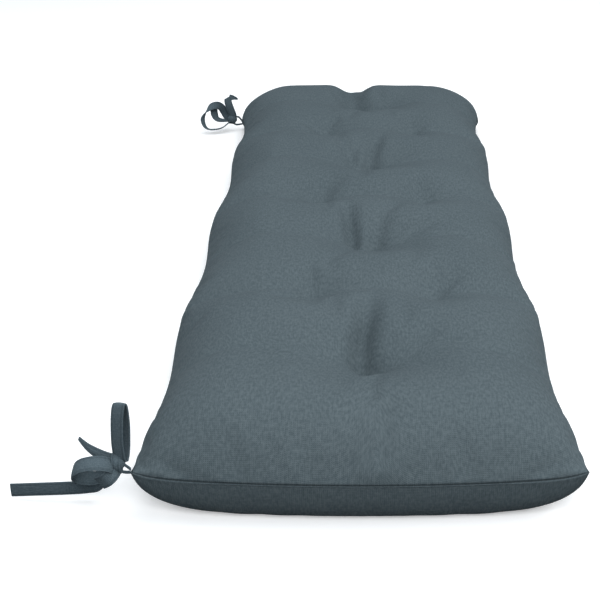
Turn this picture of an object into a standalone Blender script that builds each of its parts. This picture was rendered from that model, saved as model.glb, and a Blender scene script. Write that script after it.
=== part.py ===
"""Tufted bench cushion with two bow ties, in metres.

The cushion lies on its back: its underside is flat on z = 0, its length runs along Y and
its width along X. The origin is the centre of the underside. Three solids are built:
the filled cushion, the tie at the near left corner and the tie at the far left corner.
"""

import math
from collections import namedtuple

import bmesh
import bpy
from mathutils import Vector

# Cushion sizes
WIDTH = 0.500
LENGTH = 1.500
SEAM_HEIGHT = 0.0515
CROWN_RISE = 0.0615
CORNER_LIFT = 0.0085
CORNER_LIFT_REACH = 0.018
END_BOW = 0.016
SIDE_DRAW_IN = 0.0065
SIDE_SCALLOP = 0.0050
DRAW_IN_REACH = 0.090

# Rounding of the filled edge, measured inward from the seam
SIDE_EDGE = 0.104
END_EDGE = 0.086
UNDER_SIDE_EDGE = 0.068
UNDER_END_EDGE = 0.026
UNDER_FULLNESS = 2.6
UNDER_CORNER_EDGE = 0.130
UNDER_CORNER_FULLNESS = 2.5
UNDER_CORNER_START = 0.72
SIDE_FULLNESS = 2.0
END_FULLNESS = 1.45

# Tufts: seven rows, one stitch and two stitches by turns, sewn a little right of centre
ROW_COUNT = 7
ROW_PITCH = LENGTH / (ROW_COUNT + 1)
TUFT_SHIFT = 0.016
PAIR_OFFSET = 0.086
CHANNEL_DEPTH = 0.007
CHANNEL_REACH = 0.026
TUFT_DEPTH = 0.042
TUFT_REACH = 0.048
CREASE_DEPTH = 0.012
CREASE_REACH = 0.014
FAR_CREASE_DEPTH = 0.020
FAR_CREASE_REACH = 0.036
FAR_CREASE_OFFSET = -0.012
UNDER_DENT = 0.010
UNDER_DENT_RADIUS = 0.040

# The far corners sag almost to the surface and stand out a little
FAR_SAG = 0.0365
FAR_SPREAD = 0.016
FAR_SPREAD_START = 0.62
FAR_SAG_START = 0.84
SIDE_SAG_START = 0.45

# Cells of each of the two sewn panels
CELLS_ACROSS = 24
CELLS_ALONG = 80
SIDE_EDGE_CELLS = 5
END_EDGE_CELLS = 4

# Ties
RIBBON_WIDTH = 0.017
RIBBON_THICKNESS = 0.0022
LEG_WIDTH = 0.0036
TIP_WIDTH = 0.0030
GATHERED_WIDTH = 0.0150
OVAL_STEPS = 12
STEPS_PER_SPAN = 4
KNOT_SEGMENTS = 16
KNOT_RINGS = 10
MILLIMETRE = 0.001
MERGE_DISTANCE = 0.0001

# Looks: base colour, roughness, metallic
CLOTH_COLOUR = (0.108, 0.141, 0.159)
RIBBON_COLOUR = (0.080, 0.110, 0.127)
CLOTH_ROUGHNESS = 0.92

# One strap of a tie: its key points in order, and its width at the first and the last.
Strap = namedtuple("Strap", "keys first_width last_width")

# A key point, as an offset from the knot in millimetres, with the direction of the width.
Key = namedtuple("Key", "right back up lean_right lean_back lean_up")


def oval_keys(middle, along, across, first_lean, last_lean):
    """Return the keys of an oval loop that starts and ends at its end nearest the knot.

    The loop runs from minus `along` over `across` to `along` and back on the other side, in
    millimetres from the knot, and the ribbon turns evenly from the first lean to the last.
    """
    keys = []
    for step in range(OVAL_STEPS + 1):
        share = step / OVAL_STEPS
        turn = math.pi * (1.0 - 2.0 * share)
        place = Vector(middle) + Vector(along) * math.cos(turn)
        place += Vector(across) * math.sin(turn)
        lean = Vector(first_lean).lerp(Vector(last_lean), share)
        keys.append(Key(*place, *lean))
    return tuple(keys)


NEAR_KNOT = (-0.267, -0.736, 0.063)
NEAR_KNOT_RADII = (0.0095, 0.0080, 0.0100)
NEAR_STRAPS = {
    "upright loop": Strap(
        oval_keys((6, 4, 36), (2, 0, 36), (-2.5, -6, 0), (1, -0.45, 0.2), (1, -0.45, 0.2)),
        GATHERED_WIDTH,
        RIBBON_WIDTH,
    ),
    "round loop": Strap(
        oval_keys((-26, -1, -10), (-23, 1, -4), (0, -15, 19), (0, 0.8, 0.6), (0.2, 0.8, 0.6)),
        RIBBON_WIDTH,
        RIBBON_WIDTH,
    ),
    "lobe": Strap(
        (
            Key(0.0, -2.0, -2.0, 0.6, 0.0, -0.8),
            Key(-3.0, -12.0, -6.0, 0.6, 0.0, -0.8),
            Key(-10.0, -16.0, -12.0, 0.6, 0.0, -0.8),
            Key(-19.0, -12.0, -19.0, 0.6, 0.0, -0.8),
        ),
        RIBBON_WIDTH,
        RIBBON_WIDTH,
    ),
    "tail": Strap(
        (
            Key(-4.0, 4.0, -6.0, 0.0, 0.9, 0.4),
            Key(-15.0, 10.0, -22.0, 0.0, 0.85, 0.5),
            Key(-25.0, 18.0, -38.0, 0.0, 0.6, 0.8),
            Key(-40.0, 22.0, -46.0, 0.0, 0.0, 1.0),
            Key(-65.0, 22.0, -48.0, 0.0, 0.0, 1.0),
            Key(-130.0, 24.0, -52.0, 0.0, 0.0, 1.0),
        ),
        RIBBON_WIDTH,
        RIBBON_WIDTH,
    ),
    "tip": Strap(
        (
            Key(-4.0, 4.0, 0.0, 0.6, 0.2, 0.8),
            Key(-18.0, 6.0, 6.0, 0.6, 0.2, 0.8),
            Key(-32.0, 7.0, 16.0, 0.5, 0.4, 0.75),
            Key(-41.0, 6.0, 28.0, 0.35, 0.7, 0.6),
        ),
        RIBBON_WIDTH,
        TIP_WIDTH,
    ),
    "high leg": Strap(
        (
            Key(0.0, 0.0, 1.0, 0.0, 0.4, 0.9),
            Key(8.0, -2.0, -1.0, 0.0, 0.4, 0.9),
            Key(16.1, -8.0, -3.0, 0.0, 0.4, 0.9),
        ),
        LEG_WIDTH,
        LEG_WIDTH,
    ),
    "low leg": Strap(
        (
            Key(0.0, -3.0, -7.0, 0.0, 0.4, 0.9),
            Key(8.0, -6.0, -8.0, 0.0, 0.4, 0.9),
            Key(16.0, -11.0, -5.0, 0.0, 0.4, 0.9),
        ),
        LEG_WIDTH,
        LEG_WIDTH,
    ),
}

FAR_KNOT = (-0.289, 0.733, 0.025)
FAR_KNOT_RADII = (0.0120, 0.0080, 0.0100)
FAR_STRAPS = {
    "round loop": Strap(
        (
            Key(-3.0, -4.0, -3.0, 0.0, 0.95, -0.2),
            Key(-18.0, -17.0, -13.0, 0.0, 0.95, -0.2),
            Key(-34.0, -25.0, -16.0, 0.0, 0.95, -0.2),
            Key(-50.0, -28.0, -15.0, 0.0, 0.95, -0.2),
            Key(-60.0, -24.0, -8.0, 0.2, 0.95, -0.1),
            Key(-64.0, -17.0, 6.0, 0.4, 0.9, -0.1),
            Key(-58.0, -11.0, 20.0, 0.3, 0.8, 0.3),
            Key(-47.0, -6.0, 30.0, 0.0, 0.6, 0.7),
            Key(-33.0, -2.0, 33.0, 0.2, 0.3, 0.9),
            Key(-23.0, 2.0, 27.0, 0.8, 0.1, 0.6),
            Key(-17.0, 5.0, 14.0, 1.0, 0.0, 0.2),
            Key(-10.0, 5.0, 4.0, 0.6, 0.2, 0.8),
            Key(-2.0, 3.0, 0.0, 0.5, 0.3, 0.8),
        ),
        RIBBON_WIDTH,
        RIBBON_WIDTH,
    ),
    "inner tail": Strap(
        (
            Key(-3.0, 4.0, -1.0, 0.2, 0.8, 0.3),
            Key(-19.0, 5.0, -4.0, 0.1, 0.95, 0.1),
            Key(-34.0, 5.0, -1.0, 0.3, 0.9, 0.2),
            Key(-40.0, 6.0, 11.0, 0.8, 0.5, 0.2),
            Key(-41.0, 7.0, 24.0, 0.9, 0.4, 0.1),
        ),
        RIBBON_WIDTH,
        RIBBON_WIDTH,
    ),
    "upright": Strap(
        (
            Key(3.0, -1.0, 1.0, 1.0, 0.0, 0.1),
            Key(2.0, -3.0, 12.0, 1.0, 0.0, 0.2),
            Key(-2.0, -4.0, 25.0, 1.0, 0.0, 0.25),
            Key(-6.0, -4.0, 38.0, 1.0, 0.0, 0.25),
            Key(-8.0, -2.0, 51.0, 1.0, 0.0, 0.6),
        ),
        RIBBON_WIDTH,
        RIBBON_WIDTH,
    ),
    "fold": Strap(
        (
            Key(-4.0, -1.0, 49.0, 0.2, 0.2, 1.0),
            Key(4.0, 4.0, 49.0, 0.1, 0.2, 1.0),
            Key(14.0, 8.0, 45.0, 0.0, 0.2, 1.0),
        ),
        RIBBON_WIDTH,
        TIP_WIDTH,
    ),
    "high leg": Strap(
        (
            Key(6.0, 1.0, 6.0, 0.0, 0.4, 0.9),
            Key(15.0, 4.0, 4.0, 0.2, 0.4, 0.9),
            Key(22.2, 11.0, -8.5, 0.3, 0.4, 0.8),
        ),
        LEG_WIDTH,
        LEG_WIDTH,
    ),
    "low leg": Strap(
        (
            Key(2.0, -3.0, -6.0, 0.0, 0.4, 0.9),
            Key(9.0, 0.0, -12.0, 0.0, 0.4, 0.9),
            Key(23.1, 6.0, -12.0, 0.0, 0.4, 0.9),
        ),
        LEG_WIDTH,
        LEG_WIDTH,
    ),
}


def smooth_ramp(value, low, high):
    """Rise smoothly from 0 at low to 1 at high."""
    share = min(max((value - low) / (high - low), 0.0), 1.0)
    return share * share * (3.0 - 2.0 * share)


def rounded(distance, reach, fullness):
    """Height share of a filled edge at a distance inward from the seam."""
    left = min(max(1.0 - distance / reach, 0.0), 1.0)
    return (1.0 - left**fullness) ** (1.0 / fullness)


def edge_position(share, cells, edge_cells, half_size, edge):
    """Place a grid share in -1..1 along a half size, with finer cells at the rounded edge."""
    flat = 1.0 - edge_cells * 2.0 / cells
    size = abs(share)
    if size <= flat:
        place = size / flat * (half_size - edge)
    else:
        turn = (size - flat) / (1.0 - flat) * math.pi / 2.0
        place = half_size - edge + edge * math.sin(turn)
    return math.copysign(place, share)


def tuft_rows():
    """Return each row's place along Y with the X places of its stitches."""
    rows = []
    for number in range(1, ROW_COUNT + 1):
        along = -LENGTH / 2.0 + number * ROW_PITCH
        offsets = (0.0,) if number % 2 else (-PAIR_OFFSET, PAIR_OFFSET)
        rows.append((along, [TUFT_SHIFT + offset for offset in offsets]))
    return rows


def pull_down(x, y):
    """Depth by which channels, stitches and creases lower the top at a place."""
    deepest = 0.0
    for along, places in tuft_rows():
        away = abs(y - along)
        nearest = min(abs(x - place) for place in places)
        at_tuft = math.exp(-nearest / TUFT_REACH)
        depth = CHANNEL_DEPTH + (TUFT_DEPTH - CHANNEL_DEPTH) * at_tuft
        deepest = max(deepest, depth * math.exp(-away / CHANNEL_REACH))
        crease = CREASE_DEPTH * math.exp(-((nearest / CREASE_REACH) ** 2))
        deepest = max(deepest, crease * smooth_ramp(ROW_PITCH - away, 0.0, ROW_PITCH))
    far_row = LENGTH / 2.0 - ROW_PITCH
    if y > far_row:
        aside = (x - FAR_CREASE_OFFSET) / FAR_CREASE_REACH
        deepest = max(deepest, FAR_CREASE_DEPTH * math.exp(-(aside**2)))
    return deepest


def under_dent(x, y):
    """Height of the shallow hollow that a stitch leaves in the underside."""
    rise = 0.0
    for along, places in tuft_rows():
        for place in places:
            away = math.hypot(x - place, y - along) / UNDER_DENT_RADIUS
            rise = max(rise, UNDER_DENT * max(0.0, 1.0 - away) ** 2)
    return rise


def outline(across, along):
    """Turn a place on the plain rectangle into the drawn-in outline of the cushion."""
    inward = LENGTH / 2.0 - abs(along)
    settled = 1.0 - math.exp(-inward / DRAW_IN_REACH)
    wave = math.cos(math.pi * (along + LENGTH / 2.0) / ROW_PITCH)
    spread = FAR_SPREAD * smooth_ramp(2.0 * along / LENGTH, FAR_SPREAD_START, 1.0)
    half = WIDTH / 2.0 + settled * (SIDE_SCALLOP * wave - SIDE_DRAW_IN) + spread
    share = 2.0 * across / WIDTH
    reach = 1.0 + END_BOW * (1.0 - share * share) * 2.0 / LENGTH
    return share * half, along * reach


def seam_height(across, along):
    """Height of the seam, which rises into the near corners and sags at the far ones."""
    side = smooth_ramp(2.0 * abs(across) / WIDTH, SIDE_SAG_START, 1.0)
    far = smooth_ramp(2.0 * along / LENGTH, FAR_SAG_START, 1.0)
    corner = math.hypot(WIDTH / 2.0 - abs(across), LENGTH / 2.0 + along)
    lift = CORNER_LIFT * math.exp(-corner / CORNER_LIFT_REACH)
    return SEAM_HEIGHT + lift - FAR_SAG * side * far


def top_point(across, along):
    """Place a point of the top panel."""
    x, y = outline(across, along)
    side = rounded(WIDTH / 2.0 - abs(across), SIDE_EDGE, SIDE_FULLNESS)
    end = rounded(LENGTH / 2.0 - abs(along), END_EDGE, END_FULLNESS)
    seam = seam_height(across, along)
    crown = SEAM_HEIGHT + CROWN_RISE - pull_down(x, y) - seam
    return Vector((x, y, seam + crown * side * end))


def under_point(across, along):
    """Place a point of the bottom panel."""
    x, y = outline(across, along)
    corner = smooth_ramp(2.0 * abs(along) / LENGTH, UNDER_CORNER_START, 1.0)
    reach = UNDER_SIDE_EDGE + (UNDER_CORNER_EDGE - UNDER_SIDE_EDGE) * corner
    fullness = UNDER_FULLNESS + (UNDER_CORNER_FULLNESS - UNDER_FULLNESS) * corner
    side = rounded(WIDTH / 2.0 - abs(across), reach, fullness)
    end = rounded(LENGTH / 2.0 - abs(along), UNDER_END_EDGE, UNDER_FULLNESS)
    return Vector((x, y, seam_height(across, along) * (1.0 - side * end) + under_dent(x, y)))


def add_panel(mesh, place):
    """Add one sewn panel to a mesh and shape it with a placing function."""
    made = bmesh.ops.create_grid(
        mesh, x_segments=CELLS_ACROSS, y_segments=CELLS_ALONG, size=1.0
    )
    for vert in made["verts"]:
        across = edge_position(
            vert.co.x, CELLS_ACROSS, SIDE_EDGE_CELLS, WIDTH / 2.0, SIDE_EDGE
        )
        along = edge_position(
            vert.co.y, CELLS_ALONG, END_EDGE_CELLS, LENGTH / 2.0, END_EDGE
        )
        vert.co = place(across, along)
    return made["verts"]


def build_cushion(collection, material):
    """Sew the two panels into the filled cushion."""
    mesh = bmesh.new()
    add_panel(mesh, top_point)
    add_panel(mesh, under_point)
    bmesh.ops.remove_doubles(mesh, verts=mesh.verts, dist=MERGE_DISTANCE)
    bmesh.ops.recalc_face_normals(mesh, faces=mesh.faces)
    if mesh.calc_volume(signed=True) < 0.0:
        bmesh.ops.reverse_faces(mesh, faces=mesh.faces)
    return finish_object(mesh, "cushion", collection, material)


def spline_point(points, position):
    """Return the place at a position along a smooth line through the points."""
    last = len(points) - 1
    span = min(int(position), last - 1)
    share = position - span
    before, first, second, after = (
        points[min(max(span + step, 0), last)] for step in (-1, 0, 1, 2)
    )
    linear = (second - before) * 0.5
    bend = before - first * 2.5 + second * 2.0 - after * 0.5
    twist = (first - second) * 1.5 + (after - before) * 0.5
    return first + linear * share + bend * share**2 + twist * share**3


def build_strap(strap, knot_place, collection):
    """Bend one flat ribbon along its key points and give it its thickness."""
    spans = len(strap.keys) - 1
    middles = [Vector(key[:3]) * MILLIMETRE + Vector(knot_place) for key in strap.keys]
    leans = [Vector(key[3:]).normalized() for key in strap.keys]
    mesh = bmesh.new()
    bmesh.ops.create_grid(mesh, x_segments=spans * STEPS_PER_SPAN, y_segments=2, size=0.5)
    for vert in mesh.verts:
        share = vert.co.x + 0.5
        width = strap.first_width + (strap.last_width - strap.first_width) * share
        across = spline_point(leans, share * spans).normalized() * (vert.co.y * width)
        vert.co = spline_point(middles, share * spans) + across
    data = bpy.data.meshes.new("strap")
    mesh.to_mesh(data)
    mesh.free()
    ribbon = bpy.data.objects.new("strap", data)
    ribbon.hide_render = True
    ribbon.display_type = "WIRE"
    collection.objects.link(ribbon)
    thicken = ribbon.modifiers.new("thickness", "SOLIDIFY")
    thicken.thickness = RIBBON_THICKNESS
    thicken.offset = 0.0
    return ribbon


def build_tie(name, knot_place, knot_radii, straps, tools, collection, material):
    """Join the straps of one tie with its knot into a single solid."""
    mesh = bmesh.new()
    bmesh.ops.create_uvsphere(
        mesh, u_segments=KNOT_SEGMENTS, v_segments=KNOT_RINGS, radius=1.0
    )
    for vert in mesh.verts:
        shaped = Vector(part * radius for part, radius in zip(vert.co, knot_radii))
        vert.co = Vector(knot_place) + shaped
    tie = finish_object(mesh, name, collection, material)
    for strap in straps.values():
        join = tie.modifiers.new("join", "BOOLEAN")
        join.operation = "UNION"
        join.solver = "EXACT"
        join.use_self = True
        join.object = build_strap(strap, knot_place, tools)
    return tie


def finish_object(mesh, name, collection, material):
    """Store a shaped mesh as one smooth-shaded object."""
    for face in mesh.faces:
        face.smooth = True
    data = bpy.data.meshes.new(name)
    mesh.to_mesh(data)
    mesh.free()
    data.materials.append(material)
    made = bpy.data.objects.new(name, data)
    collection.objects.link(made)
    return made


def make_material(name, colour, roughness):
    """Return a plain woven-cloth material."""
    material = bpy.data.materials.new(name)
    material.use_nodes = True
    shader = material.node_tree.nodes["Principled BSDF"]
    shader.inputs["Base Color"].default_value = (*colour, 1.0)
    shader.inputs["Roughness"].default_value = roughness
    shader.inputs["Metallic"].default_value = 0.0
    return material


def main():
    """Build the cushion and its two ties."""
    for old in list(bpy.data.objects):
        bpy.data.objects.remove(old)
    parts = bpy.data.collections.new("bench cushion")
    tools = bpy.data.collections.new("tie straps")
    bpy.context.scene.collection.children.link(parts)
    bpy.context.scene.collection.children.link(tools)
    cloth = make_material("cushion cloth", CLOTH_COLOUR, CLOTH_ROUGHNESS)
    build_cushion(parts, cloth)
    for name, knot, radii, straps in (
        ("near_tie", NEAR_KNOT, NEAR_KNOT_RADII, NEAR_STRAPS),
        ("far_tie", FAR_KNOT, FAR_KNOT_RADII, FAR_STRAPS),
    ):
        ribbon = make_material(name + " ribbon", RIBBON_COLOUR, CLOTH_ROUGHNESS)
        build_tie(name, knot, radii, straps, tools, parts, ribbon)


main()
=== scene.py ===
"""Bench cushion with tufted channels and two ribbon bows, lying on a pale floor."""

import logging
import math
from dataclasses import dataclass, replace
from enum import Enum

import bmesh
import bpy
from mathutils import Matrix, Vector, noise


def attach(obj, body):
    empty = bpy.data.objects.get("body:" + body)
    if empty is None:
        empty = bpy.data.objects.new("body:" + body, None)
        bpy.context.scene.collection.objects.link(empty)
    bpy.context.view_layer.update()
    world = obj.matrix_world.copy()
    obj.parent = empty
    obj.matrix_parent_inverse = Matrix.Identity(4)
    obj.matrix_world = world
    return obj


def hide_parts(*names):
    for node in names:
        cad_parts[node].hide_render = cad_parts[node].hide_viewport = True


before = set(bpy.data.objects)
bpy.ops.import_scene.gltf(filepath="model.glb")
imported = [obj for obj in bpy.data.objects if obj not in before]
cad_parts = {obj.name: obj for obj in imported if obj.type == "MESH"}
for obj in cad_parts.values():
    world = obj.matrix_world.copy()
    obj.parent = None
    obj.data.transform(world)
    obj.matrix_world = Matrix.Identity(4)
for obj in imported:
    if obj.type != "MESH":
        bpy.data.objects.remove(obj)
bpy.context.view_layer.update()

LOG = logging.getLogger("bench cushion")
MILLIMETRE = 0.001
WELD_DISTANCE = 0.00002
RIBBON_WIDTH = 0.017
WAVE_TURN = 20.0  # the Wave Texture node turns by 20 radians a unit at a scale of 1

Colour = tuple[float, float, float]
Place = tuple[float, float, float]


class Stitches(Enum):
    """How many stitches a tuft row has, with their places across from its middle."""

    SINGLE = (0.0,)
    PAIR = (-0.086, 0.086)


# ---- node graphs


class Sock:
    """An output socket whose Python operators add Math nodes to its graph."""

    def __init__(self, graph: "Graph", socket: bpy.types.NodeSocket) -> None:
        """Wrap a socket.

        Args:
            graph: The graph that the socket belongs to.
            socket: The output socket.
        """
        self.graph = graph
        self.socket = socket

    def math(self, operation: str, *values: object) -> "Sock":
        """Add a Math node.

        Args:
            operation: The Math node's operation.
            values: Its sockets' values or links, in order.

        Returns:
            The node's result.
        """
        settings = {"operation": operation}
        return self.graph.add("ShaderNodeMath", settings, dict(enumerate(values))).out(0)

    def __add__(self, other: object) -> "Sock":
        """Return self + other."""
        return self.math("ADD", self, other)

    def __radd__(self, other: object) -> "Sock":
        """Return other + self."""
        return self.math("ADD", other, self)

    def __sub__(self, other: object) -> "Sock":
        """Return self - other."""
        return self.math("SUBTRACT", self, other)

    def __rsub__(self, other: object) -> "Sock":
        """Return other - self."""
        return self.math("SUBTRACT", other, self)

    def __mul__(self, other: object) -> "Sock":
        """Return self * other."""
        return self.math("MULTIPLY", self, other)

    def __rmul__(self, other: object) -> "Sock":
        """Return other * self."""
        return self.math("MULTIPLY", other, self)


@dataclass
class Added:
    """A node that has been added to a graph."""

    graph: "Graph"
    node: bpy.types.Node

    def out(self, key: int | str) -> Sock:
        """Return one of the node's outputs."""
        return Sock(self.graph, self.node.outputs[key])


class Graph:
    """The node graph of a material or of the world."""

    def __init__(self, owner: bpy.types.Material | bpy.types.World) -> None:
        """Start an empty graph.

        Args:
            owner: The material or world that it belongs to.
        """
        owner.use_nodes = True
        self.tree = owner.node_tree
        self.tree.nodes.clear()

    def add(
        self,
        kind: str,
        settings: dict[str, object] | None = None,
        sockets: dict[int | str, object] | None = None,
    ) -> Added:
        """Add a node.

        Args:
            kind: The node's type.
            settings: Its settings, which are set before the sockets.
            sockets: The values or links of its input sockets.

        Returns:
            The node.
        """
        node = self.tree.nodes.new(kind)
        for key, value in (settings or {}).items():
            setattr(node, key, value)
        for key, value in (sockets or {}).items():
            if isinstance(value, Sock):
                self.tree.links.new(value.socket, node.inputs[key])
            else:
                node.inputs[key].default_value = value
        return Added(self, node)

    def mix(self, share: object, first: object, second: object) -> Sock:
        """Mix two colours.

        Args:
            share: The share of the second colour.
            first: The first colour or link.
            second: The second colour or link.

        Returns:
            The mixed colour.
        """
        settings = {"data_type": "RGBA"}
        ready = [(*c, 1.0) if isinstance(c, tuple) else c for c in (first, second)]
        sockets = {0: share, 6: ready[0], 7: ready[1]}
        return self.add("ShaderNodeMix", settings, sockets).out(2)

    def scaled(self, vector: Sock, factors: Place) -> Sock:
        """Multiply a vector by one factor a component."""
        settings = {"operation": "MULTIPLY"}
        return self.add("ShaderNodeVectorMath", settings, {0: vector, 1: factors}).out(0)

    def noise(self, vector: Sock, scale: float, detail: float, roughness: float) -> Sock:
        """Return a noise value at a vector."""
        sockets = {"Vector": vector, "Scale": scale, "Detail": detail, "Roughness": roughness}
        return self.add("ShaderNodeTexNoise", {}, sockets).out("Fac")

    def ramp(self, value: Sock, low: float, high: float, top: float = 1.0) -> Sock:
        """Map a value smoothly from low..high to 0..top."""
        settings = {"interpolation_type": "SMOOTHSTEP"}
        sockets = {"Value": value, "From Min": low, "From Max": high, "To Max": top}
        return self.add("ShaderNodeMapRange", settings, sockets).out(0)

    def finish(self, kind: str, shader: Added) -> None:
        """Link the shader to an output node of a kind."""
        self.add(kind, {}, {"Surface": shader.out(0)})


@dataclass(frozen=True)
class MelangeCloth:
    """Plain-woven cloth of mixed slate yarns with fine slubs along the warp."""

    name: str
    base: Colour
    dark_yarn: Colour
    light_yarn: Colour
    slub_width: float = 0.0026
    slub_length: float = 0.0068
    slub_step: float = 0.6
    warp_share: float = 0.72
    weft_share: float = 0.28
    weft_scale: float = 0.9
    patches_per_metre: Place = (9.0, 6.0, 1.0)
    patch_share: float = 0.12
    light_from: float = 0.40
    light_to: float = 0.74
    base_share: float = 0.45
    fleck_scale: float = 2.1
    fleck_from: float = 0.70
    fleck_to: float = 0.80
    fleck_share: float = 0.35
    thread_pitch: float = 0.0011
    thread_wander: float = 0.4
    weave_height: float = 0.00022
    slub_height: float = 0.00008
    bump_strength: float = 0.85
    roughness: float = 0.93
    slub_gloss: float = 0.06
    line_roughness: float = 0.05
    specular: float = 0.15
    # where the painted groove shade starts and how far from the seam it reaches
    line_from: float = 0.0002
    fold_line: float = 0.0011
    # share of painted crevice shade, which also scales the bumped groove's depth
    groove_and_shade_strength: float = 0.62
    line_depth: float = 0.001
    # colour of the painted shade in the seam's groove and along the ribbons' hems
    crevice_shade_colour: Colour = (0.010, 0.014, 0.017)

    def material(self) -> bpy.types.Material:
        """Build the cloth's material.

        Returns:
            The material, which reads the piece's `cloth` map in metres and its `edge` distance from
            the nearest seam, and paints a dark line of shade in the groove beside the seam.
        """
        made = bpy.data.materials.new(self.name)
        graph = Graph(made)
        cloth = graph.add("ShaderNodeUVMap", {"uv_map": "cloth"}).out(0)
        colour, yarn = self._yarns(graph, cloth)
        edge = graph.add("ShaderNodeAttribute", {"attribute_name": "edge"}).out("Fac")
        # Painted shade: a near-black line in the groove beside the seam, and along a ribbon's
        # stitched hem, where shade falls. The bump below also presses a real groove there.
        inner = graph.ramp(edge, self.line_from, 0.5 * self.fold_line)
        outer = graph.ramp(edge, self.fold_line, 2.0 * self.fold_line)
        crevice_shade = inner * (1.0 - outer)
        colour = graph.mix(crevice_shade * self.groove_and_shade_strength, colour, self.crevice_shade_colour)
        rough = self.roughness - yarn * self.slub_gloss + crevice_shade * self.line_roughness
        height = self._weave(graph, cloth) * self.weave_height + yarn * self.slub_height
        height -= crevice_shade * (self.line_depth * self.groove_and_shade_strength)
        relief = {"Strength": self.bump_strength, "Distance": 1.0, "Height": height}
        sockets = {
            "Base Color": colour,
            "Roughness": rough,
            "Specular IOR Level": self.specular,
            "Normal": graph.add("ShaderNodeBump", {}, relief).out(0),
        }
        shader = graph.add("ShaderNodeBsdfPrincipled", {}, sockets)
        graph.finish("ShaderNodeOutputMaterial", shader)
        return made

    def _yarns(self, graph: Graph, cloth: Sock) -> tuple[Sock, Sock]:
        """Mix the yarns' colours.

        Args:
            graph: The material's graph.
            cloth: Place on the cloth in metres.

        Returns:
            The colour, and the share of light yarn.
        """
        along = graph.scaled(cloth, (1.0 / self.slub_width, 1.0 / self.slub_length, 1.0))
        across = graph.scaled(cloth, (1.0 / self.slub_length, 1.0 / self.slub_width, 1.0))
        warp = graph.noise(along, 1.0, 2.0, self.slub_step)
        weft = graph.noise(across, self.weft_scale, 1.0, 0.5)
        patch = graph.noise(graph.scaled(cloth, self.patches_per_metre), 1.0, 2.0, 0.5)
        light = warp * self.warp_share + weft * self.weft_share + patch * self.patch_share
        light = graph.ramp(light, self.light_from, self.light_to)
        colour = graph.mix(light, self.dark_yarn, self.light_yarn)
        colour = graph.mix(self.base_share, colour, self.base)
        fleck = graph.noise(along, self.fleck_scale, 0.0, 0.5)
        fleck = graph.ramp(fleck, self.fleck_from, self.fleck_to)
        return graph.mix(fleck * self.fleck_share, colour, self.light_yarn), light

    def _weave(self, graph: Graph, cloth: Sock) -> Sock:
        """Return the height of the plain weave, from 0 to 1."""
        scale = math.pi / (WAVE_TURN * self.thread_pitch)
        waves = []
        for direction in ("X", "Y"):
            settings = {"wave_type": "BANDS", "bands_direction": direction}
            sockets = {"Vector": cloth, "Scale": scale, "Distortion": self.thread_wander}
            waves.append(graph.add("ShaderNodeTexWave", settings, sockets).out("Fac"))
        return waves[0] * waves[1]


@dataclass(frozen=True)
class PaleFloor:
    """A plain matt floor with a faint glow, which keeps it pale far from the lamps."""

    name: str = "pale floor"
    colour: Colour = (0.92, 0.92, 0.92)
    glow: float = 0.30

    def material(self) -> bpy.types.Material:
        """Build the floor's material."""
        made = bpy.data.materials.new(self.name)
        graph = Graph(made)
        sockets = {
            "Base Color": (*self.colour, 1.0),
            "Roughness": 1.0,
            "Specular IOR Level": 0.0,
            "Emission Color": (1.0, 1.0, 1.0, 1.0),
            "Emission Strength": self.glow,
        }
        shader = graph.add("ShaderNodeBsdfPrincipled", {}, sockets)
        graph.finish("ShaderNodeOutputMaterial", shader)
        return made


CUSHION_CLOTH = MelangeCloth(
    name="cushion cloth",
    base=(0.084, 0.109, 0.120),
    dark_yarn=(0.057, 0.077, 0.087),
    light_yarn=(0.116, 0.144, 0.156),
)
RIBBON_CLOTH = MelangeCloth(
    name="ribbon cloth",
    base=(0.094, 0.127, 0.145),
    dark_yarn=(0.060, 0.085, 0.100),
    light_yarn=(0.134, 0.172, 0.194),
    slub_width=0.0010,
    slub_length=0.0028,
    # thinner, fainter painted shade line along the stitched hems
    fold_line=0.0007,
    groove_and_shade_strength=0.22,
)


# ---- shaping

FILLED_CLOTH = {
    "quality": 5,
    "mass": 0.25,
    "tension_stiffness": 25.0,
    "compression_stiffness": 8.0,
    "shear_stiffness": 6.0,
    "bending_stiffness": 0.35,
    "air_damping": 4.0,
    "use_pressure": True,
    "uniform_pressure_force": 4.0,
    "shrink_min": -0.02,
}


def smooth_ramp(value: float, low: float, high: float) -> float:
    """Rise smoothly from 0 at low to 1 at high."""
    share = min(max((value - low) / (high - low), 0.0), 1.0)
    return share * share * (3.0 - 2.0 * share)


@dataclass(frozen=True)
class EdgeProfile:
    """The rounding of a filled edge, from the seam inward."""

    reach: float
    depth: float
    fullness: float
    cells: int
    fine_rises: tuple[float, ...] = (0.0, 0.0009, 0.0018, 0.0028, 0.0042)

    def share(self, distance: float) -> float:
        """Return the height share at a distance inward from the seam."""
        left = min(max(1.0 - distance / self.reach, 0.0), 1.0)
        return (1.0 - left**self.fullness) ** (1.0 / self.fullness)

    def towards(self, other: "EdgeProfile", share: float) -> "EdgeProfile":
        """Return the rounding that lies a share of the way to another one."""
        reach = self.reach + (other.reach - self.reach) * share
        fullness = self.fullness + (other.fullness - self.fullness) * share
        return replace(self, reach=reach, fullness=fullness)

    def distance(self, step: int) -> float:
        """Return a grid line's distance inward, with fine lines beside the seam.

        Args:
            step: The line's number, counted from the seam.

        Returns:
            The distance in metres.
        """
        last_fine = len(self.fine_rises) - 1
        if step <= last_fine:
            rise = self.fine_rises[step] / self.depth
            return self.reach * (1.0 - (1.0 - rise**self.fullness) ** (1.0 / self.fullness))
        power = 2.0 / self.fullness
        first = math.asin((self.fine_rises[last_fine] / self.depth) ** (1.0 / power))
        turn = first + (math.pi / 2.0 - first) * (step - last_fine) / (self.cells - last_fine)
        return self.reach * (1.0 - max(math.cos(turn), 0.0) ** power)


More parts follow.
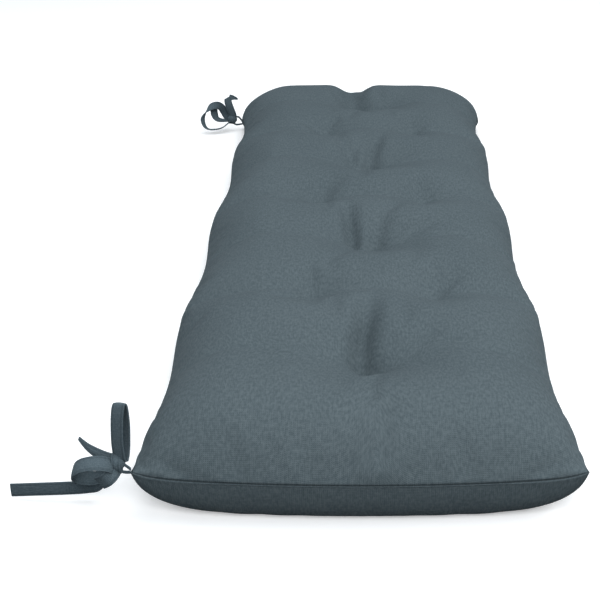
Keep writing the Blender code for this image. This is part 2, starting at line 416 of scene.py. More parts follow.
def make_piece(
    name: str, mesh: bmesh.types.BMesh, material: bpy.types.Material
) -> bpy.types.Object:
    """Store a mesh as a smooth-shaded piece.

    Args:
        name: The piece's name.
        mesh: Its mesh, which is freed.
        material: Its material.

    Returns:
        The piece.
    """
    data = bpy.data.meshes.new(name)
    mesh.to_mesh(data)
    mesh.free()
    data.shade_smooth()
    data.materials.append(material)
    piece = bpy.data.objects.new(name, data)
    bpy.context.scene.collection.objects.link(piece)
    return piece


def settle(piece: bpy.types.Object) -> None:
    """Replace a piece's mesh by its modified one and remove its modifiers."""
    graph = bpy.context.evaluated_depsgraph_get()
    data = bpy.data.meshes.new_from_object(piece.evaluated_get(graph), depsgraph=graph)
    piece.modifiers.clear()
    piece.data = data


def joined(name: str, parts: list[bpy.types.Object]) -> bpy.types.Object:
    """Join parts into one piece.

    Args:
        name: The piece's name.
        parts: The parts, which are removed.

    Returns:
        The piece, with the parts' maps, attributes and material.
    """
    with bpy.context.temp_override(active_object=parts[0], selected_editable_objects=parts):
        bpy.ops.object.join()
    parts[0].name = name
    parts[0].data.name = name
    return parts[0]


@dataclass(frozen=True)
class Crease:
    """A soft fold in the top, from one place to another, in metres."""

    start: tuple[float, float]
    end: tuple[float, float]
    depth: float
    reach: float
    fade_from: float = 0.35
    faded_share: float = 0.85

    def fall(self, x: float, y: float) -> float:
        """Return how far the fold lowers the top at a place.

        Args:
            x: Place across the cushion.
            y: Place along it.

        Returns:
            The depth there.
        """
        first, line = Vector(self.start), Vector(self.end) - Vector(self.start)
        place = Vector((x, y)) - first
        share = min(max(place.dot(line) / line.length_squared, 0.0), 1.0)
        away = (place - line * share).length / self.reach
        fade = 1.0 - smooth_ramp(share, self.fade_from, 1.0) * self.faded_share
        return self.depth * fade * math.exp(-(away**2))


@dataclass(frozen=True)
class Row:
    """One row of tufts across the cushion."""

    along: float
    middle: float
    stitches: Stitches

    @property
    def places(self) -> tuple[float, ...]:
        """Return the stitches' places across the cushion."""
        return tuple(self.middle + offset for offset in self.stitches.value)

    def fall(self, x: float, y: float, cushion: "TuftedCushion") -> float:
        """Return how far the row lowers the top at a place.

        Args:
            x: Place across the cushion.
            y: Place along it.
            cushion: The cushion that the row belongs to.

        Returns:
            The depth there.
        """
        away = min(abs(y - self.along) / cushion.pitch, 1.0)
        nearest = min(abs(x - place) for place in self.places)
        swell = math.sin(math.pi * away) if away < 0.5 else 1.0
        dip = 1.0 - swell**cushion.channel_fullness
        channel = cushion.channel_depth * dip
        pit = math.hypot(nearest / cushion.tuft_reach_across, (y - self.along) / cushion.tuft_reach)
        stitch = cushion.tuft_depth - cushion.channel_depth
        stitch *= cushion.pair_share if self.stitches is Stitches.PAIR else 1.0
        return channel + stitch * math.exp(-pit)


@dataclass
class TuftedCushion:
    """The filled cushion: two panels sewn in a knife edge, with tufted channels."""

    width: float = 0.500
    length: float = 1.500
    seam_height: float = 0.0515
    crown_rise: float = 0.060
    uneven_height: float = 0.0016
    uneven_across: float = 14.0
    uneven_along: float = 11.0
    corner_lift: float = 0.0085
    corner_lift_reach: float = 0.018
    end_bow: float = 0.016
    side_draw_in: float = 0.0065
    side_scallop: float = 0.0050
    draw_in_reach: float = 0.090
    row_count: int = 7
    tuft_shift: float = 0.016
    channel_depth: float = 0.006
    channel_fullness: float = 0.55
    tuft_depth: float = 0.046
    pair_share: float = 0.38
    tuft_reach: float = 0.026
    tuft_reach_across: float = 0.036
    blend: float = 260.0
    under_dent: float = 0.010
    under_dent_radius: float = 0.040
    far_sag: float = 0.0365
    far_sag_start: float = 0.84
    far_spread: float = 0.016
    far_spread_start: float = 0.62
    side_sag_start: float = 0.45
    far_corner_slack: float = 0.35
    far_left_slack: float = 0.60
    far_corner_start: float = 0.60
    cells_across: int = 72
    cells_along: int = 200
    top_side: EdgeProfile = EdgeProfile(0.104, 0.060, 2.0, 18)
    top_end: EdgeProfile = EdgeProfile(0.086, 0.060, 1.45, 16)
    under_side: EdgeProfile = EdgeProfile(0.068, 0.0515, 2.6, 18)
    under_end: EdgeProfile = EdgeProfile(0.026, 0.0515, 2.6, 16)
    under_corner: EdgeProfile = EdgeProfile(0.130, 0.0515, 2.5, 18)
    under_corner_start: float = 0.72
    seam_crispness: float = 0.7
    seam_ridge: float = 0.0007
    seam_groove: float = 0.0010
    seam_groove_place: float = 0.0013
    seam_groove_reach: float = 0.0009
    crease_clear_of_seam: float = 0.030
    flat_height: float = 0.0015
    thinned_share: float = 0.80
    sim_frames: int = 20
    sim_move_cap: float = 0.010
    under_swell: float = 0.15
    pinned_seam: float = 0.0045
    pinned_height: float = 0.0008
    pinned_stitch: float = 0.004
    free_of_stitch: float = 0.014
    ground_clearance: float = 0.0002
    creases: tuple[Crease, ...] = (
        Crease((0.006, -0.560), (0.005, -0.615), 0.006, 0.009),
        Crease((0.001, -0.545), (0.014, -0.395), 0.024, 0.016),
        Crease((-0.011, -0.165), (-0.023, -0.040), 0.018, 0.012),
        Crease((0.024, -0.165), (0.042, -0.060), 0.011, 0.014),
        Crease((0.030, -0.115), (0.080, -0.010), 0.008, 0.014),
        Crease((-0.016, 0.215), (-0.044, 0.330), 0.010, 0.016),
        Crease((0.017, 0.210), (0.040, 0.340), 0.015, 0.014),
        Crease((-0.011, 0.600), (-0.025, 0.766), 0.026, 0.026),
        Crease((-0.066, -0.366), (-0.064, -0.262), 0.005, 0.024),
        Crease((0.106, -0.366), (0.120, -0.262), 0.003, 0.030),
        Crease((-0.066, 0.004), (-0.060, 0.100), 0.007, 0.020),
        Crease((0.100, 0.010), (0.082, 0.090), 0.004, 0.022),
        Crease((-0.068, 0.385), (-0.071, 0.528), 0.005, 0.022),
        Crease((0.100, 0.385), (0.104, 0.470), 0.004, 0.018),
    )

    @property
    def pitch(self) -> float:
        """Return the distance from one tuft row to the next."""
        return self.length / (self.row_count + 1)

    @property
    def rows(self) -> list[Row]:
        """Return the tuft rows from the near end to the far end."""
        kinds = (Stitches.PAIR, Stitches.SINGLE)
        return [
            Row(number * self.pitch - self.length / 2.0, self.tuft_shift, kinds[number % 2])
            for number in range(1, self.row_count + 1)
        ]

    def fall(self, x: float, y: float) -> float:
        """Return how far rows and creases lower the top at a place.

        Args:
            x: Place across the cushion.
            y: Place along it.

        Returns:
            The depth there.
        """
        near = [row for row in self.rows if abs(row.along - y) < self.pitch * 1.01]
        falls = [row.fall(x, y, self) for row in near]
        return math.log(1.0 + sum(math.expm1(self.blend * part) for part in falls)) / self.blend

    def under_rise(self, x: float, y: float) -> float:
        """Return the height of the hollow that a stitch leaves in the underside."""
        rise = 0.0
        for row in self.rows:
            for place in row.places:
                away = math.hypot(x - place, y - row.along) / self.under_dent_radius
                rise = max(rise, self.under_dent * max(0.0, 1.0 - away) ** 2)
        return rise

    def outline(self, across: float, along: float) -> tuple[float, float]:
        """Turn a place on the plain rectangle into the drawn-in outline.

        Args:
            across: Place across the rectangle.
            along: Place along it.

        Returns:
            The place on the cushion.
        """
        inward = self.length / 2.0 - abs(along)
        settled = 1.0 - math.exp(-inward / self.draw_in_reach)
        wave = math.cos(math.pi * (along + self.length / 2.0) / self.pitch)
        far = smooth_ramp(2.0 * along / self.length, self.far_spread_start, 1.0)
        half = self.width / 2.0 + self.far_spread * far
        half += settled * (self.side_scallop * wave - self.side_draw_in)
        share = 2.0 * across / self.width
        reach = 1.0 + self.end_bow * (1.0 - share * share) * 2.0 / self.length
        return share * half, along * reach

    def seam_level(self, across: float, along: float) -> float:
        """Return the height of the seam, which rises into the near corners and sags far off."""
        side = smooth_ramp(2.0 * abs(across) / self.width, self.side_sag_start, 1.0)
        far = smooth_ramp(2.0 * along / self.length, self.far_sag_start, 1.0)
        corner = math.hypot(self.width / 2.0 - abs(across), self.length / 2.0 + along)
        lift = self.corner_lift * math.exp(-corner / self.corner_lift_reach)
        return self.seam_height + lift - self.far_sag * side * far

    def top_point(self, across: float, along: float) -> Vector:
        """Return a point of the top panel."""
        x, y = self.outline(across, along)
        side = self.top_side.share(self.width / 2.0 - abs(across))
        end = self.top_end.share(self.length / 2.0 - abs(along))
        seam = self.seam_level(across, along)
        corner = smooth_ramp(2.0 * abs(across) / self.width, self.far_corner_start, 1.0)
        corner *= smooth_ramp(2.0 * along / self.length, self.far_sag_start, 1.0)
        slack = self.far_left_slack if across < 0.0 else self.far_corner_slack
        filled = side * end * (1.0 - slack * corner)
        lump = Vector((x * self.uneven_across, y * self.uneven_along, 3.0))
        uneven = self.uneven_height * noise.noise(lump)
        crown = self.seam_height + self.crown_rise + uneven - self.fall(x, y) - seam
        return Vector((x, y, seam + crown * filled))

    def under_point(self, across: float, along: float) -> Vector:
        """Return a point of the bottom panel."""
        x, y = self.outline(across, along)
        corner = smooth_ramp(2.0 * abs(along) / self.length, self.under_corner_start, 1.0)
        profile = self.under_side.towards(self.under_corner, corner)
        side = profile.share(self.width / 2.0 - abs(across))
        end = self.under_end.share(self.length / 2.0 - abs(along))
        level = self.seam_level(across, along) * (1.0 - side * end)
        return Vector((x, y, level + self.under_rise(x, y)))

    def _inward(self, step: int, cells: int, profile: EdgeProfile, half: float) -> float:
        """Return how far inward from the seam a grid line lies.

        Args:
            step: The line's number, counted from the nearer seam.
            cells: Cells from seam to seam.
            profile: The rounding of that edge.
            half: Half the panel's size.

        Returns:
            The distance in metres.
        """
        if step >= profile.cells:
            share = (step - profile.cells) / (cells / 2.0 - profile.cells)
            return profile.reach + (half - profile.reach) * share
        return profile.distance(step)

    def _rectangle_place(self, column: int, line: int, top: bool) -> tuple[float, float]:
        """Place a grid point on the plain rectangle.

        The bottom panel takes the top panel's spacing at the seam, so that the two meet
        point for point, and its own spacing further in.

        Args:
            column: The point's column.
            line: The point's line.
            top: Whether it is in the top panel.

        Returns:
            The place across and along.
        """
        near_side = min(column, self.cells_across - column)
        near_end = min(line, self.cells_along - line)
        half_wide, half_long = self.width / 2.0, self.length / 2.0
        across_in = self._inward(near_side, self.cells_across, self.top_side, half_wide)
        along_in = self._inward(near_end, self.cells_along, self.top_end, half_long)
        if not top:
            own_side = self._inward(near_side, self.cells_across, self.under_side, half_wide)
            own_end = self._inward(near_end, self.cells_along, self.under_end, half_long)
            across_in += (own_side - across_in) * smooth_ramp(near_end, 0.0, self.top_end.cells)
            along_in += (own_end - along_in) * smooth_ramp(near_side, 0.0, self.top_side.cells)
        across = math.copysign(half_wide - across_in, column - self.cells_across / 2.0)
        along = math.copysign(half_long - along_in, line - self.cells_along / 2.0)
        return across, along

    def _add_panel(self, mesh: bmesh.types.BMesh, top: bool) -> None:
        """Add one panel with its cloth map and its distance from the seam.

        Args:
            mesh: The mesh that it is added to.
            top: Whether it is the top panel.
        """
        made = bmesh.ops.create_grid(
            mesh, x_segments=self.cells_across, y_segments=self.cells_along, size=1.0
        )
        grid = {}
        for vert in made["verts"]:
            column = round((vert.co.x + 1.0) / 2.0 * self.cells_across)
            line = round((vert.co.y + 1.0) / 2.0 * self.cells_along)
            grid[column, line] = vert
        for (column, line), vert in grid.items():
            across, along = self._rectangle_place(column, line, top)
            vert.co = self.top_point(across, along) if top else self.under_point(across, along)
        self._map_cloth(mesh, grid, top)

    def _map_cloth(
        self, mesh: bmesh.types.BMesh, grid: dict[tuple[int, int], bmesh.types.BMVert], top: bool
    ) -> None:
        """Lay the cloth map out in metres along the cloth, and measure off the seam.

        Args:
            mesh: The mesh that the panel is in.
            grid: The panel's vertices by column and line.
            top: Whether it is the top panel.
        """
        cloth = mesh.loops.layers.uv.verify()
        edge = mesh.verts.layers.float["edge"]
        columns, lines = range(self.cells_across + 1), range(self.cells_along + 1)
        over = {}
        for line in lines:
            over.update(self._walk([(column, line) for column in columns], grid))
        down = {}
        for column in columns:
            down.update(self._walk([(column, line) for line in lines], grid))
        place = {}
        for key, vert in grid.items():
            vert[edge] = min(*over[key], *down[key]) * (1.0 if top else -1.0)
            place[vert] = (
                (over[key][0] - over[key][1]) / 2.0 + (1.0 if top else 2.0),
                (down[key][0] - down[key][1]) / 2.0 + 1.0,
            )
        for face in {face for vert in place for face in vert.link_faces}:
            for loop in face.loops:
                loop[cloth].uv = place[loop.vert]

    @staticmethod
    def _walk(
        keys: list[tuple[int, int]], grid: dict[tuple[int, int], bmesh.types.BMVert]
    ) -> dict[tuple[int, int], tuple[float, float]]:
        """Return each grid point's distance along the cloth from both ends of a line."""
        sums = [0.0]
        for first, second in zip(keys, keys[1:]):
            sums.append(sums[-1] + (grid[second].co - grid[first].co).length)
        return {key: (gone, sums[-1] - gone) for key, gone in zip(keys, sums)}

    def sew(self, material: bpy.types.Material) -> bpy.types.Object:
        """Sew the two panels together.

        Args:
            material: The cushion's cloth.

        Returns:
            The closed cushion.
        """
        mesh = bmesh.new()
        mesh.loops.layers.uv.new("cloth")
        mesh.verts.layers.float.new("edge")
        self._add_panel(mesh, top=True)
        self._add_panel(mesh, top=False)
        bmesh.ops.remove_doubles(mesh, verts=mesh.verts, dist=WELD_DISTANCE)
        open_edges = sum(1 for line in mesh.edges if len(line.link_faces) != 2)
        if open_edges:
            raise ValueError(f"the cushion's seam is open at {open_edges} edges")
        bmesh.ops.recalc_face_normals(mesh, faces=mesh.faces)
        if mesh.calc_volume(signed=True) < 0.0:
            bmesh.ops.reverse_faces(mesh, faces=mesh.faces)
        edge = mesh.verts.layers.float["edge"]
        crisp = mesh.edges.layers.float.new("crease_edge")
        for line in mesh.edges:
            if all(abs(vert[edge]) < WELD_DISTANCE for vert in line.verts):
                line[crisp] = self.seam_crispness
        return make_piece("cushion_cloth", mesh, material)

    def _held_share(self, place: Vector, edge: float) -> float:
        """Return how firmly a point is held while the cloth is filled, from 0 to 1."""
        if abs(edge) < self.pinned_seam or place.z < self.pinned_height:
            return 1.0
        nearest = min(
            math.hypot(place.x - x, place.y - row.along)
            for row in self.rows
            for x in row.places
        )
        return 1.0 - smooth_ramp(nearest, self.pinned_stitch, self.free_of_stitch)

    def fill(self, piece: bpy.types.Object) -> None:
        """Let the cloth swell under the filling's pressure, and keep the result.

        Args:
            piece: The sewn cushion.
        """
        start = [vert.co.copy() for vert in piece.data.vertices]
        edges = [item.value for item in piece.data.attributes["edge"].data]
        held = piece.vertex_groups.new(name="held")
        for index, (place, edge) in enumerate(zip(start, edges)):
            share = self._held_share(place, edge)
            if share > 0.0:
                held.add([index], share, "REPLACE")
        cloth = piece.modifiers.new("filling", "CLOTH")
        for key, value in FILLED_CLOTH.items():
            setattr(cloth.settings, key, value)
        cloth.settings.vertex_group_mass = held.name
        cloth.settings.effector_weights.gravity = 0.0
        cloth.point_cache.frame_start = 1
        cloth.point_cache.frame_end = self.sim_frames
        for number in range(1, self.sim_frames + 1):
            bpy.context.scene.frame_set(number)
        settle(piece)
        bpy.context.scene.frame_set(1)
        for vert, place, edge in zip(piece.data.vertices, start, edges):
            moved = (vert.co - place) * (self.under_swell if edge < 0.0 else 1.0)
            if moved.length > self.sim_move_cap:
                moved *= self.sim_move_cap / moved.length
            vert.co = place + moved
            vert.co.z = max(vert.co.z, self.ground_clearance)

    def press_seam(self, piece: bpy.types.Object) -> None:
        """Press a fine groove over the seam and raise its ridge.

        Args:
            piece: The filled cushion.
        """
        data = piece.data
        edges = [item.value for item in data.attributes["edge"].data]
        normals = [vert.normal.copy() for vert in data.vertices]
        for vert, edge, normal in zip(data.vertices, edges, normals):
            if abs(edge) < WELD_DISTANCE:
                vert.co += normal * self.seam_ridge
            elif edge > 0.0:
                away = (edge - self.seam_groove_place) / self.seam_groove_reach
                vert.co -= normal * self.seam_groove * math.exp(-(away**2))

    def press_creases(self, piece: bpy.types.Object) -> None:
        """Press the soft folds into the top.

        Args:
            piece: The filled cushion, with its final mesh.
        """
        data = piece.data
        edges = [item.value for item in data.attributes["edge"].data]
        for vert, edge in zip(data.vertices, edges):
            if edge > 0.0:
                depth = max(crease.fall(vert.co.x, vert.co.y) for crease in self.creases)
                vert.co.z -= depth * smooth_ramp(edge, 0.0, self.crease_clear_of_seam)

    def thin_out_underside(self, piece: bpy.types.Object) -> None:
        """Take the needless faces out of the flat underside.

        Args:
            piece: The finished cushion.
        """
        flat = piece.vertex_groups.new(name="underside")
        for vert in piece.data.vertices:
            if vert.co.z < self.flat_height:
                flat.add([vert.index], 1.0, "REPLACE")
        thin = piece.modifiers.new("thin out", "DECIMATE")
        thin.ratio = self.thinned_share
        thin.vertex_group = flat.name
        settle(piece)

    def build(self) -> list[bpy.types.Object]:
        """Build the cushion.

        Returns:
            Its pieces.
        """
        piece = self.sew(CUSHION_CLOTH.material())
        self.fill(piece)
        self.press_seam(piece)
        smooth = piece.modifiers.new("smooth", "SUBSURF")
        smooth.levels = 1
        smooth.render_levels = 1
        settle(piece)
        self.press_creases(piece)
        self.thin_out_underside(piece)
        piece.data.shade_smooth()
        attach(piece, "root")
        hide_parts("cushion")
        LOG.info("%s: %d faces", piece.name, len(piece.data.polygons))
        return [piece]


# ---- ties


@dataclass(frozen=True)
class Key:
    """A point of a ribbon: its offset from the knot in millimetres and its lean."""

    right: float
    back: float
    up: float
    lean_right: float
    lean_back: float
    lean_up: float

    @property
    def offset(self) -> Vector:
        """Return the offset in metres."""
        return Vector((self.right, self.back, self.up)) * MILLIMETRE

    @property
    def lean(self) -> Vector:
        """Return the direction of the ribbon's width."""
        return Vector((self.lean_right, self.lean_back, self.lean_up)).normalized()


def oval_keys(
    middle: Place,
    along: Place,
    across: Place,
    first_lean: Place,
    last_lean: Place,
    steps: int = 12,
) -> tuple[Key, ...]:
    """Lay out a loop of ribbon as an oval that starts and ends at its end nearest the knot.

    Args:
        middle: The oval's middle, in millimetres from the knot.
        along: From the middle to the end farthest from the knot, in millimetres.
        across: From the middle to the side that comes first, in millimetres.
        first_lean: The ribbon's width direction at the start.
        last_lean: Its width direction at the end.
        steps: How many stretches the loop has.

    Returns:
        The keys in order.
    """
    keys = []
    for step in range(steps + 1):
        share = step / steps
        turn = math.pi * (1.0 - 2.0 * share)
        place = Vector(middle) + Vector(along) * math.cos(turn) + Vector(across) * math.sin(turn)
        lean = Vector(first_lean).lerp(Vector(last_lean), share)
        keys.append(Key(*place, *lean))
    return tuple(keys)


def along_line(points: list[Vector], position: float) -> Vector:
    """Return a place on the smooth line through points.

    Args:
        points: The points in order.
        position: How far along, in spans.

    Returns:
        The place there.
    """
    last = len(points) - 1
    span = min(int(position), last - 1)
    share = position - span
    before, first, second, after = (
        points[min(max(span + step, 0), last)] for step in (-1, 0, 1, 2)
    )
    linear = (second - before) * 0.5
    bend = before - first * 2.5 + second * 2.0 - after * 0.5
    twist = (first - second) * 1.5 + (after - before) * 0.5
    return first + linear * share + bend * share**2 + twist * share**3


@dataclass(frozen=True)
class Ribbon:
    """One flat length of folded and stitched ribbon."""

    name: str
    keys: tuple[Key, ...]
    first_width: float = RIBBON_WIDTH
    last_width: float = RIBBON_WIDTH
    thickness: float = 0.0020
    steps: int = 10
    cells_wide: int = 8
    cup: float = 0.0007
    ripple: float = 0.0004
    hem: float = 0.0022
    look_ahead: float = 0.02
    rounding: float = 0.3

    def length(self, knot: Vector) -> float:
        """Return the ribbon's length along its middle, in metres."""
        middles = [knot + key.offset for key in self.keys]
        spans = len(middles) - 1
        count = spans * self.steps
        path = [along_line(middles, spans * n / count) for n in range(count + 1)]
        return sum((b - a).length for a, b in zip(path, path[1:]))

    def build(self, prefix: str, knot: Vector, material: bpy.types.Material) -> bpy.types.Object:
        """Build the ribbon.

        Args:
            prefix: The start of the piece's name.
            knot: The knot's centre.
            material: The ribbon's cloth.

        Returns:
            The piece.
        """
        middles = [knot + key.offset for key in self.keys]
        leans = [key.lean for key in self.keys]
        spans = len(middles) - 1
        total = self.length(knot)
        mesh = bmesh.new()
        cloth = mesh.loops.layers.uv.new("cloth")
        edge = mesh.verts.layers.float.new("edge")
        bmesh.ops.create_grid(
            mesh, x_segments=spans * self.steps, y_segments=self.cells_wide, size=0.5
        )
        flat = {}
        for vert in mesh.verts:
            share, side = vert.co.x + 0.5, vert.co.y
            width = self.first_width + (self.last_width - self.first_width) * share
            place = share * spans
            middle = along_line(middles, place)
            ahead = along_line(middles, min(place + self.look_ahead, spans))
            ahead -= along_line(middles, max(place - self.look_ahead, 0.0))
            lean = along_line(leans, place).normalized()
            out = ahead.cross(lean).normalized()
            wave = noise.noise(Vector((place * 0.9, side * 2.0, float(spans)))) * self.ripple
            bow = self.cup * (4.0 * side * side - 1.0) + wave
            flat[vert] = (side * width, share * total)
            # Distance from the stitched hem line, where the cloth paints a faint line of shade.
            vert[edge] = abs(width * (0.5 - abs(side)) - self.hem)
            vert.co = middle + lean * (side * width) + out * bow
        for face in mesh.faces:
            for loop in face.loops:
                across, along = flat[loop.vert]
                loop[cloth].uv = (across + 0.1, along + 0.1)
        piece = make_piece(f"{prefix}_{self.name}", mesh, material)
        thick = piece.modifiers.new("thickness", "SOLIDIFY")
        thick.thickness = self.thickness
        thick.offset = 0.0
        soft = piece.modifiers.new("edges", "BEVEL")
        soft.width = self.thickness * self.rounding
        soft.segments = 2
        soft.limit_method = "ANGLE"
        settle(piece)
        piece.data.shade_smooth()
        return piece


@dataclass
class BowTie:
    """Two ribbons sewn in a corner of the seam and knotted in a bow."""

    node: str
    knot: Place
    knot_radii: Place
    ribbons: tuple[Ribbon, ...]
    wrap: Ribbon
    pleats: float = 5.0
    pleat_twist: float = 2.0
    pleat_depth: float = 0.10
    lump_scale: float = 2.3
    lump_depth: float = 0.05
    core_share: float = 0.93

    def _core(self, material: bpy.types.Material) -> bpy.types.Object:
        """Build the gathered cloth inside the knot.

        Args:
            material: The ribbon's cloth.

        Returns:
            The piece.
        """
        mesh = bmesh.new()
        cloth = mesh.loops.layers.uv.new("cloth")
        edge = mesh.verts.layers.float.new("edge")
        bmesh.ops.create_icosphere(mesh, subdivisions=4, radius=1.0)
        for vert in mesh.verts:
            turn = math.atan2(vert.co.z, vert.co.y) * self.pleats + vert.co.x * self.pleat_twist
            pleat = 1.0 + self.pleat_depth * math.sin(turn) * (1.0 - vert.co.x**2)
            pleat += self.lump_depth * noise.noise(vert.co * self.lump_scale)
            vert[edge] = 1.0
            shaped = Vector(part * radius for part, radius in zip(vert.co, self.knot_radii))
            vert.co = Vector(self.knot) + shaped * pleat * self.core_share
        for face in mesh.faces:
            for loop in face.loops:
                away = loop.vert.co - Vector(self.knot)
                loop[cloth].uv = (away.x + 0.5, away.z + away.y + 0.5)
        return make_piece(f"{self.node}_knot", mesh, material)

    def build(self, material: bpy.types.Material) -> list[bpy.types.Object]:
        """Build the bow.

        Args:
            material: The ribbon's cloth.

        Returns:
            Its pieces.
        """
        centre = Vector(self.knot)
        core = self._core(material)
        lengths = [*self.ribbons, self.wrap]
        ribbon = joined(
            f"{self.node}_ribbon", [part.build(self.node, centre, material) for part in lengths]
        )
        total = sum(part.length(centre) for part in lengths)
        for piece in (core, ribbon):
            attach(piece, "root")
            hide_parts(self.node)
            LOG.info("%s: %d faces", piece.name, len(piece.data.polygons))
        size = (total / MILLIMETRE, RIBBON_WIDTH / MILLIMETRE)
        LOG.info("%s: ribbon %.0f mm long, %.0f mm wide", self.node, *size)
        return [core, ribbon]


def ring(width: float, radius_back: float, radius_up: float, tilt: float) -> Ribbon:
    """Return the turn of ribbon that is drawn round a knot.

    Args:
        width: The ribbon's width there.
        radius_back: The turn's radius from front to back, in millimetres.
        radius_up: Its radius upward, in millimetres.
        tilt: How far its width leans upward.

    Returns:
        The ribbon.
    """
    keys = tuple(
        Key(0.0, radius_back * math.cos(turn), radius_up * math.sin(turn), 1.0, 0.0, tilt)
        for turn in (math.radians(100.0 + 45.0 * step) for step in range(9))
    )
    return Ribbon("wrap", keys, width, width, steps=6)


LEG = {"first_width": 0.0036, "last_width": 0.0036, "cells_wide": 4, "cup": 0.0}

NEAR_TIE = BowTie(
    node="near_tie",
    knot=(-0.267, -0.736, 0.063),
    knot_radii=(0.0095, 0.0080, 0.0100),
    wrap=ring(0.0105, 8.6, 10.0, -0.45),
    ribbons=(
        Ribbon(
            "upright_loop",
            oval_keys((6, 4, 36), (2, 0, 36), (-2.5, -6, 0), (1, -0.45, 0.2), (1, -0.45, 0.2)),
            first_width=0.0150,
        ),
        Ribbon(
            "round_loop",
            oval_keys((-26, -1, -10), (-23, 1, -4), (0, -15, 19), (0, 0.8, 0.6), (0.2, 0.8, 0.6)),
        ),
        Ribbon("lobe", (
            Key(0, -2, -2, 0.6, 0, -0.8),
            Key(-3, -12, -6, 0.6, 0, -0.8),
            Key(-10, -16, -12, 0.6, 0, -0.8),
            Key(-19, -12, -19, 0.6, 0, -0.8),
        )),
        Ribbon("tail", (
            Key(-4, 4, -6, 0, 0.9, 0.4),
            Key(-15, 10, -22, 0, 0.85, 0.5),
            Key(-25, 18, -38, 0, 0.6, 0.8),
            Key(-40, 22, -46, 0, 0, 1),
            Key(-65, 22, -48, 0, 0, 1),
            Key(-130, 24, -52, 0, 0, 1),
        )),
        Ribbon("tip", (
            Key(-4, 4, 0, 0.6, 0.2, 0.8),
            Key(-18, 6, 6, 0.6, 0.2, 0.8),
            Key(-32, 7, 16, 0.5, 0.4, 0.75),
            Key(-41, 6, 28, 0.35, 0.7, 0.6),
        ), last_width=0.0030),
        Ribbon("high_leg", (
            Key(0, 0, 1, 0, 0.4, 0.9),
            Key(8, -2, -1, 0, 0.4, 0.9),
            Key(16.1, -8, -3, 0, 0.4, 0.9),
        ), **LEG),
        Ribbon("low_leg", (
            Key(0, -3, -7, 0, 0.4, 0.9),
            Key(8, -6, -8, 0, 0.4, 0.9),
            Key(16, -11, -5, 0, 0.4, 0.9),
        ), **LEG),
    ),
)

FAR_TIE = BowTie(
    node="far_tie",
    knot=(-0.289, 0.733, 0.025),
    knot_radii=(0.0120, 0.0080, 0.0100),
    wrap=ring(0.0135, 8.6, 10.0, -0.15),
    ribbons=(
        Ribbon("round_loop", (
            Key(-3, -4, -3, 0, 0.95, -0.2),
            Key(-18, -17, -13, 0, 0.95, -0.2),
            Key(-34, -25, -16, 0, 0.95, -0.2),
            Key(-50, -28, -15, 0, 0.95, -0.2),
            Key(-60, -24, -8, 0.2, 0.95, -0.1),
            Key(-64, -17, 6, 0.4, 0.9, -0.1),
            Key(-58, -11, 20, 0.3, 0.8, 0.3),
            Key(-47, -6, 30, 0, 0.6, 0.7),
            Key(-33, -2, 33, 0.2, 0.3, 0.9),
            Key(-23, 2, 27, 0.8, 0.1, 0.6),
            Key(-17, 5, 14, 1, 0, 0.2),
            Key(-10, 5, 4, 0.6, 0.2, 0.8),
            Key(-2, 3, 0, 0.5, 0.3, 0.8),
        )),
        Ribbon("inner_tail", (
            Key(-3, 4, -1, 0.2, 0.8, 0.3),
            Key(-19, 5, -4, 0.1, 0.95, 0.1),
            Key(-34, 5, -1, 0.3, 0.9, 0.2),
            Key(-40, 6, 11, 0.8, 0.5, 0.2),
            Key(-41, 7, 24, 0.9, 0.4, 0.1),
        )),
        Ribbon("upright", (
            Key(3, -1, 1, 1, 0, 0.1),
            Key(2, -3, 12, 1, 0, 0.2),
            Key(-2, -4, 25, 1, 0, 0.25),
            Key(-6, -4, 38, 1, 0, 0.25),
            Key(-8, -2, 51, 1, 0, 0.6),
        )),
        Ribbon("fold", (
            Key(-4, -1, 49, 0.2, 0.2, 1),
            Key(4, 4, 49, 0.1, 0.2, 1),
            Key(14, 8, 45, 0, 0.2, 1),
        ), last_width=0.0030),
        Ribbon("high_leg", (
            Key(6, 1, 6, 0, 0.4, 0.9),
            Key(15, 4, 4, 0.2, 0.4, 0.9),
            Key(22.2, 11, -8.5, 0.3, 0.4, 0.8),
        ), **LEG),
        Ribbon("low_leg", (
            Key(2, -3, -6, 0, 0.4, 0.9),
            Key(9, 0, -12, 0, 0.4, 0.9),
            Key(23.1, 6, -12, 0, 0.4, 0.9),
        ), **LEG),
    ),
)


# ---- studio


@dataclass(frozen=True)
class Lamp:
    """A soft area lamp aimed at a place."""

    name: str
    place: Place
    size: float
    power: float
    target: Place = (0.0, 0.0, 0.0)

    def build(self) -> None:
        """Build the lamp."""
        light = bpy.data.lights.new(self.name, "AREA")
        light.size = self.size
        light.energy = self.power
        lamp = bpy.data.objects.new(self.name, light)
        lamp.location = self.place
        aim = Vector(self.target) - Vector(self.place)
        lamp.rotation_euler = aim.to_track_quat("-Z", "Y").to_euler()
        bpy.context.scene.collection.objects.link(lamp)


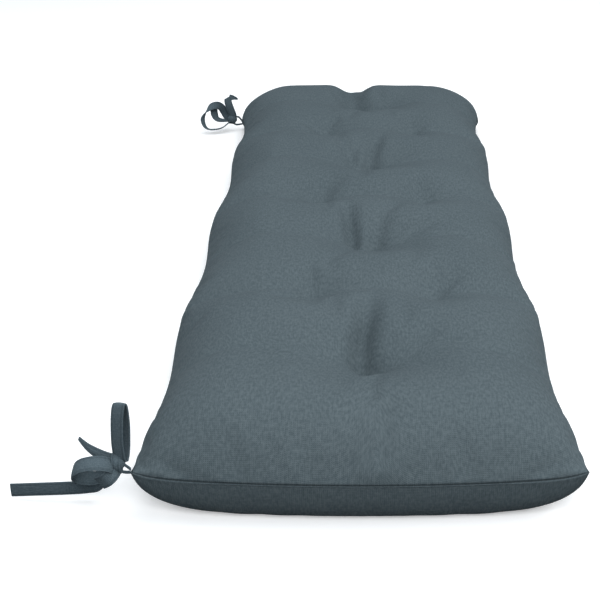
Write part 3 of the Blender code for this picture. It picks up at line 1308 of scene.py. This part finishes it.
@dataclass
class Studio:
    """The pale floor and backdrop, the soft light and the camera."""

    floor_size: float = 80.0
    floor_cells: int = 8
    wall_radius: float = 38.0
    wall_height: float = 30.0
    wall_sides: int = 96
    wall_glow: float = 0.50
    sky_level: float = 0.36
    sky_colour: Colour = (0.84, 0.98, 1.10)
    dim_below: float = -0.03
    bright_above: float = 0.20
    camera_back: float = 1.8157
    camera_height: float = 0.7649
    camera_pitch: float = 25.04
    lens: float = 69.61
    shift_across: float = -0.1
    lamps: tuple[Lamp, ...] = (
        Lamp("overhead", (0.3, 0.9, 3.2), 3.0, 42.0),
        Lamp("right side", (2.7, -0.4, 1.9), 1.8, 42.0),
        Lamp("left side", (-2.6, 0.3, 1.8), 1.8, 20.0),
        Lamp("front", (0.3, -2.8, 2.35), 2.0, 67.0),
    )

    def build(self) -> None:
        """Build the floor, the lamps, the sky and the camera."""
        mesh = bmesh.new()
        bmesh.ops.create_grid(
            mesh, x_segments=self.floor_cells, y_segments=self.floor_cells, size=self.floor_size / 2
        )
        floor = make_piece("floor", mesh, PaleFloor().material())
        floor.visible_diffuse = False
        self._hang_backdrop()
        for lamp in self.lamps:
            lamp.build()
        self._light_sky()
        bpy.context.scene.view_settings.view_transform = "Standard"
        self._aim_camera()

    def _light_sky(self) -> None:
        """Give the world a soft sky that dims towards the horizon."""
        world = bpy.data.worlds.new("soft sky")
        graph = Graph(world)
        direction = graph.add("ShaderNodeTexCoord").out("Generated")
        height = graph.add("ShaderNodeSeparateXYZ", {}, {0: direction}).out("Z")
        strength = graph.ramp(height, self.dim_below, self.bright_above, self.sky_level)
        sockets = {"Color": (*self.sky_colour, 1.0), "Strength": strength}
        graph.finish("ShaderNodeOutputWorld", graph.add("ShaderNodeBackground", {}, sockets))
        bpy.context.scene.world = world

    def _hang_backdrop(self) -> None:
        """Stand a round pale wall at the floor's edge, which takes no part in the lighting."""
        mesh = bmesh.new()
        bmesh.ops.create_cone(
            mesh,
            segments=self.wall_sides,
            radius1=self.wall_radius,
            radius2=self.wall_radius,
            depth=self.wall_height,
        )
        paint = PaleFloor(name="pale backdrop", glow=self.wall_glow).material()
        wall = make_piece("backdrop", mesh, paint)
        wall.location.z = self.wall_height / 2.0
        wall.visible_diffuse = False
        wall.visible_glossy = False
        wall.visible_shadow = False

    def _aim_camera(self) -> None:
        """Place the camera at the near end, looking down along the cushion."""
        data = bpy.data.cameras.new("camera")
        data.lens = self.lens
        data.sensor_width = 36.0
        data.shift_x = self.shift_across
        camera = bpy.data.objects.new("camera", data)
        camera.location = (0.0, -self.camera_back, self.camera_height)
        camera.rotation_euler = (math.radians(90.0 - self.camera_pitch), 0.0, 0.0)
        bpy.context.scene.collection.objects.link(camera)
        bpy.context.scene.camera = camera


def main() -> None:
    """Build the studio, the cushion and its ties, and report each piece."""
    logging.basicConfig(level=logging.INFO, format="%(name)s: %(message)s")
    Studio().build()
    TuftedCushion().build()
    ribbon = RIBBON_CLOTH.material()
    for tie in (NEAR_TIE, FAR_TIE):
        tie.build(ribbon)


if __name__ == "__main__":
    main()
